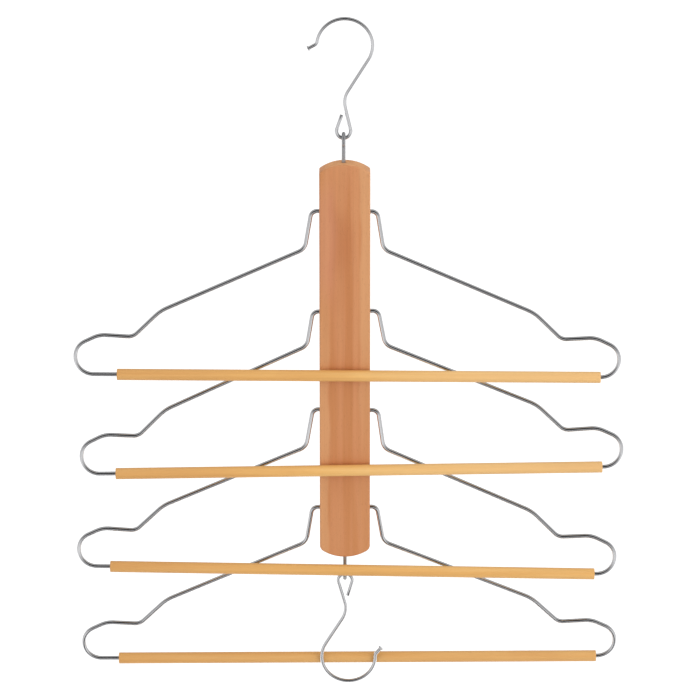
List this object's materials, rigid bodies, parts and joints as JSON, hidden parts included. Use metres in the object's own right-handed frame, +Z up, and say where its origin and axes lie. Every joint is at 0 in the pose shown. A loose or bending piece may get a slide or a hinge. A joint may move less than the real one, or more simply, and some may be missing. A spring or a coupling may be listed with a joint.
{
  "type": "tiered trouser hanger",
  "caption": "Wooden board hung from a steel S-hook, with bent wire frames on both sides that carry round wooden bars one above the other, and a second S-hook at its foot.",
  "frame": {"origin": "the rail's seat: the underside of the upper hook's crown, on the board's middle plane", "axes": "+Z up along the hanging board, +X to the right along the bars, +Y to the back; the front, where the upper bars rest on the board, faces -Y"},
  "size_m": [0.4358, 0.0278, 0.5597],
  "materials": {
    "board_wood": "reddish brown hardwood, sanded, thin satin lacquer, grain along the board",
    "bar_wood": "light honey-coloured dowel, sanded, thin satin lacquer, grain along the bar",
    "frame_wire": "bright nickel-plated steel wire",
    "hook_wire": "bright nickel-plated steel wire, a little thinner"
  },
  "bodies": {
    "upper_hook": {"upper_hook": "hook_wire"},
    "board": {"hanger_board": "board_wood", "upper_screw_eye": "hook_wire", "lower_screw_eye": "hook_wire"},
    "tier_1": {"wire_frame_1": "frame_wire"},
    "tier_2": {"wire_frame_2": "frame_wire"},
    "tier_3": {"wire_frame_3": "frame_wire"},
    "tier_4": {"wire_frame_4": "frame_wire"},
    "bar_1": {"trouser_bar_1": "bar_wood"},
    "bar_2": {"trouser_bar_2": "bar_wood"},
    "bar_3": {"trouser_bar_3": "bar_wood"},
    "bar_4": {"trouser_bar_4": "bar_wood"},
    "lower_hook": {"lower_hook": "hook_wire"}
  },
  "joints": [
    {"name": "board_swing", "type": "hinge", "parent": "upper_hook", "child": "board", "pos_m": [-0.0009, 0, -0.095], "axis": [-1, 0, 0], "range_deg": [-35, 35]},
    {"name": "tier_1_swing", "type": "hinge", "parent": "board", "child": "tier_1", "pos_m": [-0.0003, 0, -0.1551], "axis": [-1, 0, 0], "range_deg": [0, 150]},
    {"name": "tier_2_swing", "type": "hinge", "parent": "board", "child": "tier_2", "pos_m": [0.0006, 0, -0.2381], "axis": [-1, 0, 0], "range_deg": [0, 150]},
    {"name": "tier_3_swing", "type": "hinge", "parent": "board", "child": "tier_3", "pos_m": [0.0005, 0, -0.3211], "axis": [-1, 0, 0], "range_deg": [0, 150]},
    {"name": "tier_4_swing", "type": "hinge", "parent": "board", "child": "tier_4", "pos_m": [-0.0002, 0, -0.4041], "axis": [1, 0, 0], "range_deg": [0, 150]},
    {"name": "lower_hook_swing", "type": "hinge", "parent": "board", "child": "lower_hook", "pos_m": [0, 0, -0.462], "axis": [-1, 0, 0], "range_deg": [0, 80]},
    {"name": "bar_1_turn", "type": "hinge", "parent": "tier_1", "child": "bar_1", "pos_m": [0.01104, -0.01231, -0.28791], "axis": [1, -0.0006, -0.0064], "continuous": true},
    {"name": "bar_2_turn", "type": "hinge", "parent": "tier_2", "child": "bar_2", "pos_m": [0.01122, -0.01229, -0.36788], "axis": [0.9999, 0.0013, 0.0142], "continuous": true},
    {"name": "bar_3_turn", "type": "hinge", "parent": "tier_3", "child": "bar_3", "pos_m": [0.00597, -0.00894, -0.45511], "axis": [0.9999, -0.0011, -0.0162], "continuous": true},
    {"name": "bar_4_turn", "type": "hinge", "parent": "tier_4", "child": "bar_4", "pos_m": [0.0101, 0.0063, -0.5373], "axis": [1, -0.0002, 0.0052], "continuous": true}
  ],
  "couplings": [
    {"joint": "tier_2_swing", "follows": "tier_1_swing", "ratio": 1},
    {"joint": "tier_3_swing", "follows": "tier_1_swing", "ratio": 1}
  ]
}
